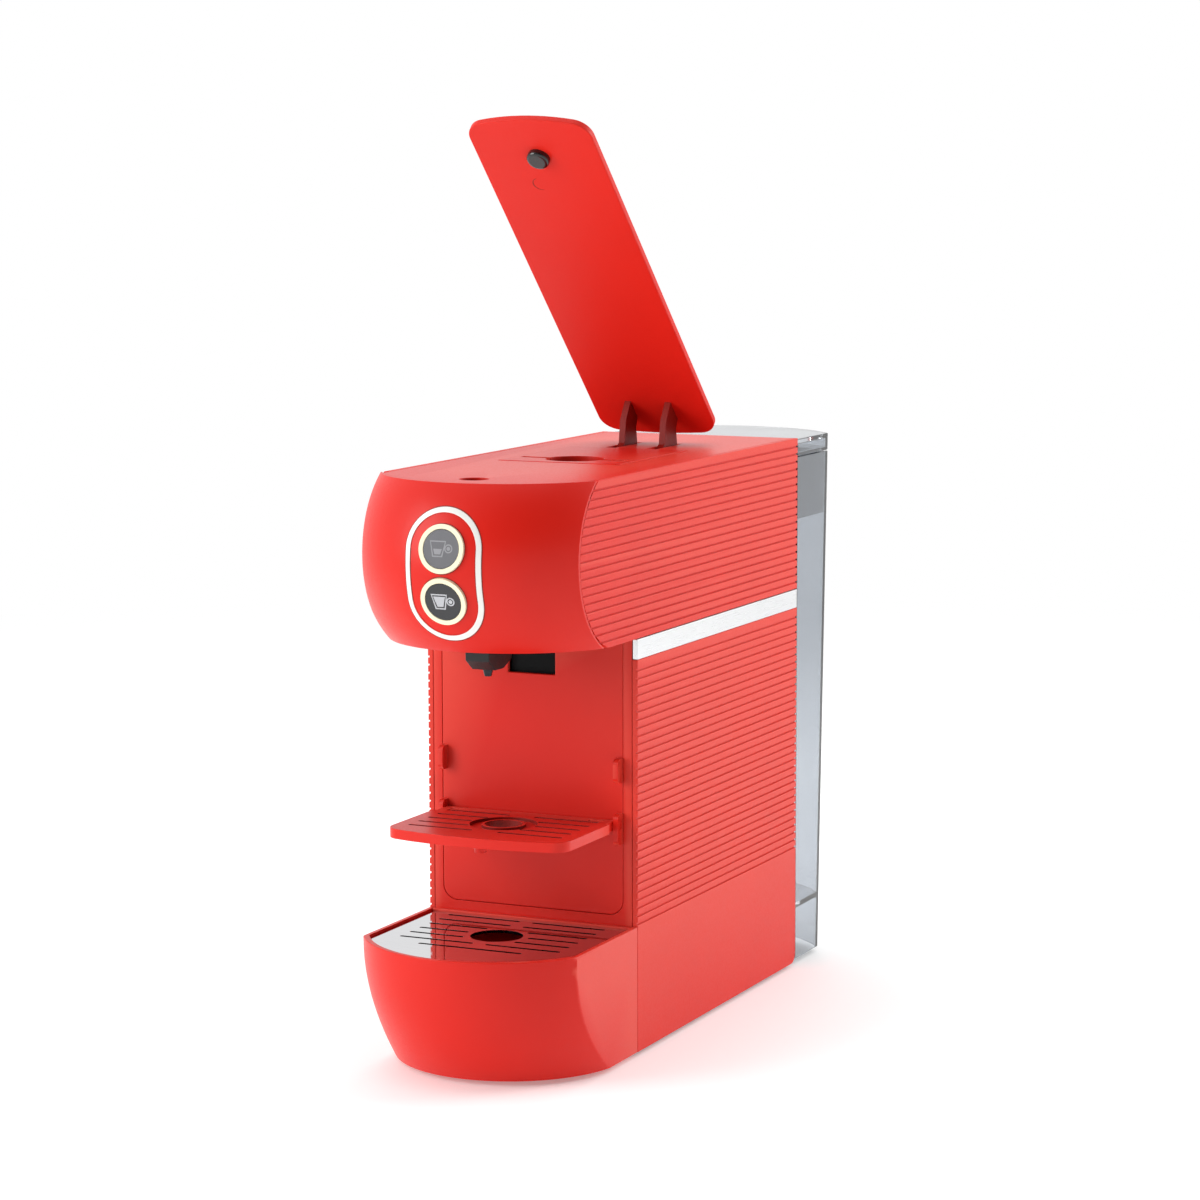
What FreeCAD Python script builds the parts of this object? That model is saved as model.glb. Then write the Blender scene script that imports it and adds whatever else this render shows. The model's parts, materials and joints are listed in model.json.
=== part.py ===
import FreeCAD, Part
import Sketcher
import math
import os

# Pod coffee machine. Millimetres, +Z up, front towards -Y.
# Origin: on the table, under the middle of the machine's length and width.

doc = FreeCAD.newDocument("PodMachine")
sheet = doc.addObject("Spreadsheet::Sheet", "Sizes")

driving = dict(
    halfWidth=50.0, panelWall=2.4, shellWall=2.4, edgeWall=1.5, fitGap=0.2,
    baseBottom=2.0, bodyFront=-80.5, bodyRear=103.1, headTop=252.3, headBottom=182.0,
    coverWall=2.2, headMid=219.0,
    headSideCentre=-98.3, headSideRadius=40.9, headNoseCentre=-113.5, headNoseRadius=51.0,
    stripLow=172.4, stripHigh=181.3, ribPitch=3.545, ribWidth=0.9, ribDepth=0.75,
    lowerRibStart=57.6, upperRibStart=184.2, cornerRound=5.0,
    panelHalf=43.1, panelLow=61.3, panelHigh=181.4, panelRound=6.5, notchHalf=11.2, notchLow=163.7,
    frameHalf=47.3, frameWall=3.2, binHalf=40.0, binRear=-4.0, binHigh=150.0, binWall=1.8,
    hookInner=40.7, hookOuter=43.0, hookProud=5.0,
    hookLow=92.5, hookHigh=106.0, upperHookLow=119.4, upperHookHigh=129.8,
    shelfTop=103.0, shelfThick=4.3, shelfHalf=42.0, shelfNeck=40.3, shelfNeckEnd=-92.0,
    shelfRear=-82.2, shelfSide=-136.0, shelfFront=-142.0, shelfPinY=-83.6,
    trayTop=56.9, trayRim=2.2, trayLedge=5.5, trayWall=2.2, trayFloor=9.0, grilleTop=55.8, grilleThick=1.4,
    trayBottom=2.0, traySideTop=-141.9, trayFrontTop=-170.0,
    traySideTuck=32.9, trayFrontTuck=19.6, trayCurve=2.2,
    grilleHoleY=-115.5, grilleHoleRadius=11.2, slotWidth=1.8, slotPitch=9.0,
    pivotY=57.9, pivotZ=241.0, openAngle=44.5, lidHalf=28.75, lidThick=3.0, lidUnder=252.6,
    lidFront=-156.1, lidFrontSag=4.2, lidRear=47.6, lidRearSag=2.0, lidCorner=9.0,
    knobY=-133.7, knobRadius=5.0, knobProud=2.8,
    armInner=8.5, armOuter=11.5, armSlotGap=0.8, armSlotFront=23.6, armSlotRear=53.8,
    pinRadius=2.5, pinGap=0.05, camPinRadius=2.4, camPinY=34.8, camPinZ=221.9, camSlotRadius=2.8,
    pistonStroke=14.0, brewAxisZ=212.0, pistonRadius=17.0, pistonFace=-17.0, pistonRear=20.0,
    plateInner=12.2, plateOuter=14.7, cheekInner=19.5, cheekOuter=22.5,
    insertHalf=28.7, insertFront=-53.5, insertRear=21.5, podSlotY=-35.5, podSlotHalf=26.0,
    buttonUpperZ=226.4, buttonLowerZ=204.6, ringRadius=10.2, buttonRadius=8.0,
    bezelHalf=17.2, bezelLow=187.6, bezelHigh=243.2, bezelBand=2.2,
    spoutY=-122.1, spoutHalf=5.5, spoutFront=-132.3, spoutRear=-110.7, spoutLow=171.5, nozzleLow=168.4,
    tankFront=106.5, tankHalf=48.6, tankWall=2.2, tankTopZ=243.0, tankBottom=2.6, tankFloor=27.0,
    tankSideTop=146.0, tankSideBottom=136.0, tankRearTop=170.0, tankRearBottom=160.0,
    collarLow=213.5, tankLidLow=243.4, tankLidTop=251.5, valveY=121.0, neckRadius=9.0,
    chassisLow=184.6, chassisHigh=187.4, footRadius=7.0,
    pumpX=14.0, pumpY=46.0, flowX=-20.0, flowY=78.0, flowZ=60.0, flowRadius=15.0,
)

class Size:
    """A length that carries its number and the sheet expression that gives it."""

    def __init__(self, value, text):
        self.value, self.text = value, text

    def _join(self, other, sign, value):
        return Size(value, "(%s %s %s)" % (self.text, sign, other.text))

    def __add__(self, other):
        other = asSize(other)
        return self._join(other, "+", self.value + other.value)

    def __sub__(self, other):
        other = asSize(other)
        return self._join(other, "-", self.value - other.value)

    def __mul__(self, other):
        other = asSize(other)
        return self._join(other, "*", self.value * other.value)

    def __truediv__(self, other):
        other = asSize(other)
        return self._join(other, "/", self.value / other.value)

    def __neg__(self):
        return Size(-self.value, "(0 - %s)" % self.text)

    def __rsub__(self, other):
        return asSize(other) - self

    __radd__, __rmul__ = __add__, __mul__


def asSize(number):
    return number if isinstance(number, Size) else Size(float(number), "(%.6g)" % number)


def root(size):
    return Size(math.sqrt(size.value), "sqrt(%s)" % size.text)


def power(size, exponent):
    return Size(size.value ** exponent.value, "pow(%s; %s)" % (size.text, exponent.text))


class Sheet:
    """Names of the spreadsheet's cells as attributes."""


dim = Sheet()
for row, (alias, number) in enumerate(driving.items(), start=1):
    sheet.set("A%d" % row, alias)
    sheet.set("B%d" % row, str(number))
    sheet.setAlias("B%d" % row, alias)
    setattr(dim, alias, Size(number, "Sizes." + alias))
doc.recompute()

parts = {}


def node(label, shape):
    shape.Label = label
    parts[label] = shape
    return shape


def bind(thing, prop, size):
    size = asSize(size)
    thing.setExpression(prop, size.text)


def vector(x, y, z):
    return FreeCAD.Vector(asSize(x).value, asSize(y).value, asSize(z).value)


# ---- primitives and booleans ----

def box(x, y, z):
    """Block between two corners: x, y and z are (low, high)."""
    block = doc.addObject("Part::Box", "block")
    for prop, axis, (low, high) in (("Length", "x", x), ("Width", "y", y), ("Height", "z", z)):
        bind(block, prop, asSize(high) - low)
        bind(block, "Placement.Base." + axis, low)
    return block


turns = {"x": FreeCAD.Rotation(FreeCAD.Vector(0, 1, 0), 90),
         "y": FreeCAD.Rotation(FreeCAD.Vector(1, 0, 0), -90),
         "z": FreeCAD.Rotation()}


def place(thing, axis, centre, low):
    """Stand a round primitive on its axis, its foot at low and its centre on the two other axes."""
    thing.Placement = FreeCAD.Placement(FreeCAD.Vector(), turns[axis])
    others = [letter for letter in "xyz" if letter != axis]
    bind(thing, "Placement.Base." + axis, low)
    for letter, middle in zip(others, centre):
        bind(thing, "Placement.Base." + letter, middle)


def rod(axis, centre, radius, low, high):
    """Cylinder along an axis between low and high."""
    cylinder = doc.addObject("Part::Cylinder", "rod")
    bind(cylinder, "Radius", radius)
    bind(cylinder, "Height", asSize(high) - low)
    place(cylinder, axis, centre, low)
    return cylinder


def cone(axis, centre, radiusLow, radiusHigh, low, high):
    taper = doc.addObject("Part::Cone", "cone")
    bind(taper, "Radius1", radiusLow)
    bind(taper, "Radius2", radiusHigh)
    bind(taper, "Height", asSize(high) - low)
    place(taper, axis, centre, low)
    return taper


def fuse(*shapes):
    joined = doc.addObject("Part::MultiFuse", "joined")
    joined.Shapes = list(shapes)
    return joined


def common(*shapes):
    shared = doc.addObject("Part::MultiCommon", "shared")
    shared.Shapes = list(shapes)
    return shared


def cut(base, *tools):
    trimmed = doc.addObject("Part::Cut", "trimmed")
    trimmed.Base = base
    trimmed.Tool = tools[0] if len(tools) == 1 else fuse(*tools)
    return trimmed


def turned(shape, turn, centre):
    """The shape turned about a point. It goes in a compound, which keeps its own placing."""
    holder = doc.addObject("Part::Compound", "turned")
    holder.Links = [shape]
    holder.Placement = FreeCAD.Placement(FreeCAD.Vector(), turn, centre)
    return holder


def tube(axis, centre, outer, inner, low, high):
    return cut(rod(axis, centre, outer, low, high), rod(axis, centre, inner, low - 1.0, high + 1.0))


# ---- sketched bodies ----

def newBody():
    return doc.addObject("PartDesign::Body", "body")


def originFeature(body, role):
    return [feature for feature in body.Origin.OriginFeatures if feature.Role == role][0]


def outline(body, plane, offset, points, arcs=None):
    """Closed sketch on an origin plane. arcs gives, for the edge that starts at a point, its
    sagitta: positive bulges to the right of the direction of travel."""
    arcs = arcs or {}
    sketch = body.newObject("Sketcher::SketchObject", "outline")
    sketch.AttachmentSupport = [(originFeature(body, plane), "")]
    sketch.MapMode = "FlatFace"
    bind(sketch, "AttachmentOffset.Base.z", offset)
    corners = [FreeCAD.Vector(asSize(u).value, asSize(v).value, 0) for u, v in points]
    count = len(corners)
    radii = {}
    for index in range(count):
        start, end = corners[index], corners[(index + 1) % count]
        if index in arcs:
            (u0, v0), (u1, v1) = points[index], points[(index + 1) % count]
            sagitta = asSize(arcs[index])
            along = end - start
            right = FreeCAD.Vector(along.y, -along.x, 0).normalize()
            via = (start + end) * 0.5 + right * sagitta.value
            sketch.addGeometry(Part.Arc(start, via, end), False)
            chordU, chordV = asSize(u1) - u0, asSize(v1) - v0
            chordSquare = chordU * chordU + chordV * chordV
            rise = sagitta if sagitta.value > 0 else -sagitta
            radii[index] = (chordSquare / 4 + rise * rise) / (rise * 2)
        else:
            sketch.addGeometry(Part.LineSegment(start, end), False)
    ends = []
    for index in range(count):
        geometry = sketch.Geometry[index]
        startFirst = (geometry.StartPoint - corners[index]).Length < 1e-6
        ends.append((1, 2) if startFirst else (2, 1))
    for index in range(count):
        after = (index + 1) % count
        sketch.addConstraint(Sketcher.Constraint("Coincident", index, ends[index][1], after, ends[after][0]))
    for index, (u, v) in enumerate(points):
        for kind, size in (("DistanceX", u), ("DistanceY", v)):
            number = sketch.addConstraint(
                Sketcher.Constraint(kind, index, ends[index][0], asSize(size).value))
            bind(sketch, "Constraints[%d]" % number, size)
    for index, radius in radii.items():
        halfRound = abs(abs(asSize(arcs[index]).value) - radius.value) < 1e-6
        if halfRound:
            height = asSize(points[index][1])
            centred = Sketcher.Constraint("DistanceY", index, 3, height.value)
            bind(sketch, "Constraints[%d]" % sketch.addConstraint(centred), height)
        else:
            curved = Sketcher.Constraint("Radius", index, radius.value)
            bind(sketch, "Constraints[%d]" % sketch.addConstraint(curved), radius)
    return sketch


def padOn(body, sketch, length):
    pad = body.newObject("PartDesign::Pad", "pad")
    pad.Profile = sketch
    bind(pad, "Length", length)
    return pad


def prism(plane, offset, points, length, arcs=None):
    """Body padded from one outline, along the plane's normal."""
    body = newBody()
    padOn(body, outline(body, plane, offset, points, arcs), length)
    return body


def rounded(shape, radius, pick):
    """Part fillet on the edges that pick(edge) accepts."""
    doc.recompute()
    chosen = [number for number, edge in enumerate(shape.Shape.Edges, start=1) if pick(edge)]
    fillet = doc.addObject("Part::Fillet", "rounded")
    fillet.Base = shape
    fillet.Edges = [(number, asSize(radius).value, asSize(radius).value) for number in chosen]
    return fillet


def upright(edge):
    """True for a straight vertical edge."""
    if len(edge.Vertexes) != 2:
        return False
    run = edge.Vertexes[1].Point - edge.Vertexes[0].Point
    return abs(run.z) > 0.5 and abs(run.x) < 1e-4 and abs(run.y) < 1e-4


def lofted(sections):
    """Body lofted through outlines that share one layout, from the first to the last."""
    body = newBody()
    sketches = [outline(body, "XY_Plane", offset, points, arcs) for offset, points, arcs in sections]
    doc.recompute()
    loft = body.newObject("PartDesign::AdditiveLoft", "loft")
    loft.Profile = sketches[0]
    loft.Sections = sketches[1:]
    return body


# ---- the head's curved front ----

def headLevels():
    steps = 6
    span = dim.headTop - dim.headBottom
    return [dim.headBottom + span * (step / steps) for step in range(steps + 1)]


def headSection(height, noseInset, sideInset, widen, back):
    """Plan of the head at one height: the front is one arc between the two sides."""
    rise = height - dim.headMid
    sideY = dim.headSideCentre - root(dim.headSideRadius * dim.headSideRadius - rise * rise) + sideInset
    noseY = dim.headNoseCentre - root(dim.headNoseRadius * dim.headNoseRadius - rise * rise) + noseInset
    half = dim.halfWidth + widen
    points = [(-half, back), (-half, sideY), (half, sideY), (half, back)]
    return height, points, {1: sideY - noseY}


def headSolid(noseInset, sideInset, widen=0.0, back=-100.0):
    """The head's front half, its skin moved in by one amount at the nose and one at the sides."""
    return lofted([headSection(height, noseInset, sideInset, widen, back) for height in headLevels()])


def headPlate(low, high):
    """Flat plate that fills the head's plan inside its skin, between two heights."""
    half = dim.halfWidth - dim.panelWall - 0.15
    return common(headSolid(dim.shellWall + 0.1, dim.edgeWall + 0.1, 0.0, dim.bodyFront),
                  box((-half, half), (-180, dim.bodyFront), (low, high)))


def stadium(halfX, low, high, near, far):
    """Upright slab with round top and bottom, between two depths."""
    rise = asSize(halfX)
    points = [(-rise, low + rise), (rise, low + rise), (rise, high - rise), (-rise, high - rise)]
    return prism("XZ_Plane", -far, points, asSize(far) - near, {0: rise, 2: rise})


def buttonTilt(height):
    """Angle of the head's nose at a height, positive where it faces up."""
    return math.degrees(math.asin((height.value - dim.headMid.value) / dim.headNoseRadius.value))


def onNose(shape, height):
    """Turn a piece modelled about the nose's centre line so that it faces out at a height."""
    turn = FreeCAD.Rotation(FreeCAD.Vector(1, 0, 0), -buttonTilt(height))
    return turned(shape, turn, vector(0, dim.headNoseCentre, dim.headMid))


noseY = dim.headNoseCentre - dim.headNoseRadius
headAxis = (0, dim.headMid)


def buildHead():
    bezelOuter = stadium(dim.bezelHalf, dim.bezelLow, dim.bezelHigh, noseY - 2, noseY + 14)
    bezelInner = stadium(dim.bezelHalf - dim.bezelBand, dim.bezelLow + dim.bezelBand,
                         dim.bezelHigh - dim.bezelBand, noseY - 3, noseY + 15)
    band = cut(bezelOuter, bezelInner)
    skin = cut(headSolid(-0.35, -0.35), headSolid(1.0, 1.0, 1.0, -90.0))
    node("button_bezel", common(band, skin))
    shell = cut(headSolid(0.0, 0.0), headSolid(dim.shellWall, dim.edgeWall, 0.02, -90.0))
    rearTrim = box((-60, 60), (dim.headSideCentre - 16.5, -80), (dim.headBottom - 5, dim.headTop + 5))
    groove = cut(stadium(dim.bezelHalf, dim.bezelLow, dim.bezelHigh, noseY - 2, noseY + 14),
                 stadium(dim.bezelHalf - dim.bezelBand, dim.bezelLow + dim.bezelBand,
                         dim.bezelHigh - dim.bezelBand, noseY - 3, noseY + 15),
                 headSolid(1.0, 1.0, 1.0, -90.0))
    holes = [onNose(rod("y", headAxis, dim.ringRadius, noseY - 4, noseY + 12), height)
             for height in (dim.buttonUpperZ, dim.buttonLowerZ)]
    node("front_fascia", cut(shell, rearTrim, groove, *holes))
    rings = [onNose(tube("y", headAxis, dim.ringRadius - 0.02, dim.buttonRadius + 0.25,
                         noseY - 0.35, noseY + 4), height)
             for height in (dim.buttonUpperZ, dim.buttonLowerZ)]
    node("button_rings", fuse(*rings))
    for label, height in (("button_upper", dim.buttonUpperZ), ("button_lower", dim.buttonLowerZ)):
        cap = rod("y", headAxis, dim.buttonRadius, noseY - 0.2, noseY + 2.4)
        stem = rod("y", headAxis, 3.0, noseY + 2.4, noseY + 6.5)
        node(label, onNose(fuse(cap, stem), height))
    floorCore = headPlate(dim.headBottom, dim.headBottom + dim.coverWall)
    spoutHole = box((-dim.spoutHalf - dim.fitGap, dim.spoutHalf + dim.fitGap),
                    (dim.spoutFront - dim.fitGap, dim.spoutRear + dim.fitGap),
                    (dim.headBottom - 2, dim.headBottom + 5))
    node("head_floor", cut(floorCore, spoutHole))


def buildTop():
    frontPlate = headPlate(dim.headTop - dim.coverWall, dim.headTop)
    half = dim.halfWidth - dim.panelWall - 0.15
    rearPlate = box((-half, half), (dim.bodyFront, dim.bodyRear), (dim.headTop - dim.coverWall, dim.headTop))
    gap = dim.fitGap
    insertHole = box((-dim.insertHalf - gap, dim.insertHalf + gap),
                     (dim.insertFront - gap, dim.insertRear + gap), (dim.headTop - 5, dim.headTop + 5))
    armSlots = [box((side - dim.armSlotGap, side + dim.armOuter - dim.armInner + dim.armSlotGap),
                    (dim.armSlotFront, dim.armSlotRear), (dim.headTop - 5, dim.headTop + 5))
                for side in (dim.armInner, -dim.armOuter)]
    dimple = rod("z", (0, dim.knobY), dim.knobRadius + 1.2, dim.headTop - dim.knobProud - 3, dim.headTop + 5)
    node("top_cover", cut(fuse(frontPlate, rearPlate), insertHole, dimple, *armSlots))
    plate = box((-dim.insertHalf, dim.insertHalf), (dim.insertFront, dim.insertRear),
                (dim.headTop - dim.coverWall, dim.headTop + 0.2))
    plate = rounded(plate, 3.0, upright)
    slit = box((-dim.podSlotHalf, dim.podSlotHalf), (dim.podSlotY - 2.2, dim.podSlotY + 2.2),
               (dim.headTop - 5, dim.headTop + 5))
    bulge = rod("z", (0, dim.podSlotY), 13.0, dim.headTop - 5, dim.headTop + 5)
    node("chute_insert", cut(plate, slit, bulge))
    chuteTop = dim.headTop - dim.coverWall
    outer = box((-18.6, 18.6), (-52.0, -20.0), (234.0, chuteTop))
    inner = box((-17.0, 17.0), (-50.4, -21.6), (230.0, chuteTop + 2))
    node("pod_chute", cut(outer, inner))


# ---- side panels ----

def ribPanel(label, side, points, arcs, firstRib, ribCount):
    """Flat side panel with fine level grooves in its outer face."""
    body = newBody()
    inner = dim.halfWidth - dim.panelWall
    start = inner if side > 0 else -dim.halfWidth
    padOn(body, outline(body, "YZ_Plane", start, points, arcs), dim.panelWall)
    face = dim.halfWidth if side > 0 else -dim.halfWidth
    line = outline(body, "YZ_Plane", face, [(-150, firstRib), (110, firstRib), (110, firstRib + dim.ribWidth),
                                            (-150, firstRib + dim.ribWidth)])
    doc.recompute()
    groove = body.newObject("PartDesign::Pocket", "groove")
    groove.Profile = line
    bind(groove, "Length", dim.ribDepth)
    groove.Reversed = side < 0
    doc.recompute()
    pattern = body.newObject("PartDesign::LinearPattern", "ribs")
    pattern.Originals = [groove]
    pattern.Direction = (originFeature(body, "Z_Axis"), [""])
    bind(pattern, "Length", dim.ribPitch * (ribCount - 1))
    pattern.Occurrences = ribCount
    body.Tip = pattern
    return node(label, body)


def buildSides():
    bend = dim.cornerRound
    nip = bend * (1 - math.sqrt(0.5))
    lower = [(dim.bodyFront, dim.baseBottom), (dim.bodyRear - bend, dim.baseBottom),
             (dim.bodyRear, dim.baseBottom + bend), (dim.bodyRear, dim.stripLow),
             (dim.bodyFront, dim.stripLow)]
    bottomRise = dim.headMid - dim.stripHigh - 0.3
    topRise = dim.headTop - dim.headMid
    reach = dim.headSideRadius - 1.7
    frontLow = dim.headSideCentre - root(reach * reach - bottomRise * bottomRise)
    frontHigh = dim.headSideCentre - root(reach * reach - topRise * topRise)
    chordU, chordV = frontHigh - frontLow, topRise + bottomRise
    chord = root(chordU * chordU + chordV * chordV)
    bulge = reach - root(reach * reach - chord * chord / 4)
    upper = [(dim.bodyRear, dim.stripHigh + 0.3), (dim.bodyRear, dim.headTop),
             (frontHigh, dim.headTop), (frontLow, dim.stripHigh + 0.3)]
    for label, side in (("right", 1), ("left", -1)):
        ribPanel("side_panel_" + label, side, lower, {1: nip}, dim.lowerRibStart, 32)
        ribPanel("head_panel_" + label, side, upper, {2: bulge}, dim.upperRibStart, 19)
        inner, outer = dim.halfWidth - dim.panelWall, dim.halfWidth
        reachX = (inner, outer) if side > 0 else (-outer, -inner)
        strip = box(reachX, (dim.bodyFront + 0.2, dim.bodyRear), (dim.stripLow + 0.1, dim.stripHigh - 0.1))
        node("trim_strip_" + label, strip)


# ---- frame, base and rear ----

def buildFrame():
    plate = box((-dim.frameHalf, dim.frameHalf), (dim.bodyFront, dim.bodyFront + dim.frameWall),
                (8.0, dim.headBottom))
    gap = dim.fitGap
    window = box((-dim.panelHalf - gap, dim.panelHalf + gap), (dim.bodyFront - 5, dim.bodyFront + 10),
                 (dim.panelLow - gap, dim.headBottom + 5))
    ledges = [box((side, side + 3.0), (dim.bodyFront + dim.frameWall, dim.binRear), (58.0, 60.9))
              for side in (dim.binHalf - 4.0, -dim.binHalf + 1.0)]
    node("front_frame", fuse(cut(plate, rounded(window, dim.panelRound + 0.2, lowCorner)), *ledges))
    floor = box((-dim.frameHalf, dim.frameHalf), (dim.bodyFront + 0.2, 100.4), (dim.baseBottom + 0.2, 4.8))
    rim = cut(box((-dim.frameHalf, dim.frameHalf), (dim.bodyFront + dim.frameWall + 0.3, 100.4), (4.8, 11.0)),
              box((-45.0, 45.0), (-73.5, 98.2), (4.0, 12.0)))
    prongs = [box((side, side + 6.0), (-122.0, dim.bodyFront + 0.3), (dim.baseBottom + 0.4, 4.8))
              for side in (25.0, -31.0)]
    flowPost = box((dim.flowX - 5, dim.flowX + 5), (dim.flowY - 5, dim.flowY + 5), (4.0, dim.flowZ))
    shelves = [cut(box((-12.0, 40.0), (30.0, 62.0), (low, low + 2.0)),
                   rod("z", (dim.pumpX, dim.pumpY), 7.6, low - 1, low + 3)) for low in (27.0, 96.0)]
    legs = [box((side, side + 3.0), (30.0, 62.0), (4.0, 98.0)) for side in (-12.0, 37.0)]
    sockets = [rod("z", spot, 4.0, 0.0, 6.0) for spot in footSpots()]
    node("base_pan", cut(fuse(floor, rim, flowPost, *shelves, *legs, *prongs), *sockets))
    pads = [fuse(rod("z", spot, dim.footRadius, 0.0, dim.baseBottom + 0.15),
                 rod("z", spot, 3.9, dim.baseBottom, 4.8)) for spot in footSpots()]
    node("feet", fuse(*pads))
    screws = [fuse(rod("z", spot, 2.8, 5.0, 7.0), rod("z", spot, 1.5, 7.0, 16.0))
              for spot in footSpots()]
    node("case_screws", fuse(*screws))
    rear = box((-dim.frameHalf, dim.frameHalf), (100.6, dim.bodyRear),
               (dim.baseBottom + 0.2, dim.headTop - 2.4))
    glandHole = rod("y", (36.0, 26.0), 6.05, 90.0, 110.0)
    pipeHole = rod("y", (0.0, 14.0), 4.2, 90.0, 110.0)
    node("rear_panel", cut(rear, glandHole, pipeHole))
    collar = rod("y", (36.0, 26.0), 8.0, 97.6, 100.5)
    sleeve = rod("y", (36.0, 26.0), 6.0, 100.5, 105.2)
    node("cord_gland", cut(fuse(collar, sleeve), rod("y", (36.0, 26.0), 3.4, 95.0, 107.0)))


def footSpots():
    return [(side * 38.0, along) for side in (-1, 1) for along in (-65.0, 90.0)]


def lowCorner(edge):
    """True for the front-to-back edges at the window's lower corners."""
    run = edge.Vertexes[-1].Point - edge.Vertexes[0].Point
    return abs(run.y) > 1 and abs(run.x) < 1e-4 and edge.Vertexes[0].Point.z < dim.panelLow.value + 1


# ---- pod bin, its front and the cup shelf ----

def buildBin():
    slab = box((-dim.panelHalf, dim.panelHalf), (dim.bodyFront, dim.bodyFront + 2.4),
               (dim.panelLow, dim.panelHigh))
    notch = box((-dim.notchHalf, dim.notchHalf), (dim.bodyFront - 2, dim.bodyFront + 5),
                (dim.notchLow, dim.panelHigh + 5))
    node("bin_front", cut(rounded(slab, dim.panelRound, lowCorner), notch))
    hooks = []
    for low, high in ((dim.hookLow, dim.hookHigh), (dim.upperHookLow, dim.upperHookHigh)):
        for side in (1, -1):
            reach = (dim.hookInner, dim.hookOuter) if side > 0 else (-dim.hookOuter, -dim.hookInner)
            lug = box(reach, (dim.bodyFront - dim.hookProud, dim.bodyFront), (low, high))
            lug = rounded(lug, 2.3, acrossFront)
            hooks.append(lug)
    pinHoles = [rod("x", (dim.shelfPinY, dim.shelfTop - 2.1), 1.75, side, side + 4.0)
                for side in (dim.hookInner - 1, -dim.hookOuter - 0.5)]
    node("shelf_hooks", cut(fuse(*hooks), *pinHoles))
    outer = box((-dim.binHalf, dim.binHalf), (dim.bodyFront + 2.4, dim.binRear), (61.6, dim.binHigh))
    outer = rounded(outer, 3.0, lowCorner)
    wall = dim.binWall
    inner = box((-dim.binHalf + wall, dim.binHalf - wall), (dim.bodyFront + 2.4 + wall, dim.binRear - wall),
                (61.6 + wall, dim.binHigh + 5))
    node("pod_bin", cut(outer, inner))


def acrossFront(edge):
    """True for the level edges on a hook's front."""
    run = edge.Vertexes[-1].Point - edge.Vertexes[0].Point
    return abs(run.x) > 1 and edge.Vertexes[0].Point.y < dim.bodyFront.value - 2


def levelSlot(left, right, along, low, high):
    """Slot tool along X with round ends."""
    half = dim.slotWidth / 2
    return fuse(box((left + half, right - half), (along - half, along + half), (low, high)),
                rod("z", (left + half, along), half, low, high),
                rod("z", (right - half, along), half, low, high))


def buildShelf():
    low = dim.shelfTop - dim.shelfThick
    points = [(-dim.shelfNeck, dim.shelfRear), (-dim.shelfNeck, dim.shelfNeckEnd),
              (-dim.shelfHalf, dim.shelfNeckEnd), (-dim.shelfHalf, dim.shelfSide),
              (dim.shelfHalf, dim.shelfSide), (dim.shelfHalf, dim.shelfNeckEnd),
              (dim.shelfNeck, dim.shelfNeckEnd), (dim.shelfNeck, dim.shelfRear)]
    plate = prism("XY_Plane", low, points, dim.shelfThick, {3: dim.shelfSide - dim.shelfFront})
    plate = rounded(plate, 8.0, lambda edge: upright(edge) and
                    edge.Vertexes[0].Point.y < dim.shelfSide.value + 1)
    slots = []
    for row in range(5):
        along = dim.shelfRear - 8.0 - 9.0 * row
        inside = math.sqrt(max(15.0 ** 2 - (18.0 - 9.0 * row) ** 2, 36.0))
        for left, right in ((-36.0, -inside), (inside, 36.0)):
            slots.append(levelSlot(asSize(left), asSize(right), along, low - 1, dim.shelfTop + 1))
    hole = rod("z", (0, dim.shelfRear - 26.0), 8.0, low - 1, dim.shelfTop + 1)
    peg = rod("z", (0, dim.shelfRear - 48.0), 2.6, low - 4.0, low + 1.0)
    pinHeight = (dim.shelfPinY, dim.shelfTop - 2.1)
    pins = [rod("x", pinHeight, 1.7, side, side + 3.0)
            for side in (dim.shelfNeck - 0.4, -dim.shelfNeck - 2.6)]
    spot = (0, dim.shelfRear - 26.0)
    recess = tube("z", spot, 14.4, 9.4, dim.shelfTop - 1.3, dim.shelfTop + 1)
    corners = [box((middle - 3.2, middle + 3.2), (dim.shelfRear - 5.0, dim.shelfRear - 3.2),
                   (low - 1, dim.shelfTop + 1)) for middle in (-33.0, 33.0)]
    node("cup_shelf", cut(fuse(plate, peg, *pins), hole, recess, *corners, *slots))


# ---- drip tray and grille ----

def traySection(share, inset, back):
    """Plan of the tray at a share of its depth below the rim: straight sides, then one arc across
    the front. The skin tucks in with that share raised to a power, like the side of a bowl."""
    height = dim.trayTop - (dim.trayTop - dim.trayBottom) * share
    tuck = power(asSize(share), dim.trayCurve)
    side = dim.traySideTop + dim.traySideTuck * tuck
    front = dim.trayFrontTop + dim.trayFrontTuck * tuck
    half = dim.halfWidth - inset
    sideY = side + asSize(inset) * 0.8
    points = [(-half, back), (-half, sideY), (half, sideY), (half, back)]
    return height, points, {1: sideY - (front + inset)}


def traySolid(rimInset, footInset, back):
    """The tray's outline from foot to rim, inset evenly from one distance to the other."""
    steps = 6
    return lofted([traySection(step / steps, rimInset + (footInset - rimInset) * (step / steps), back)
                   for step in range(steps, -1, -1)])


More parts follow.
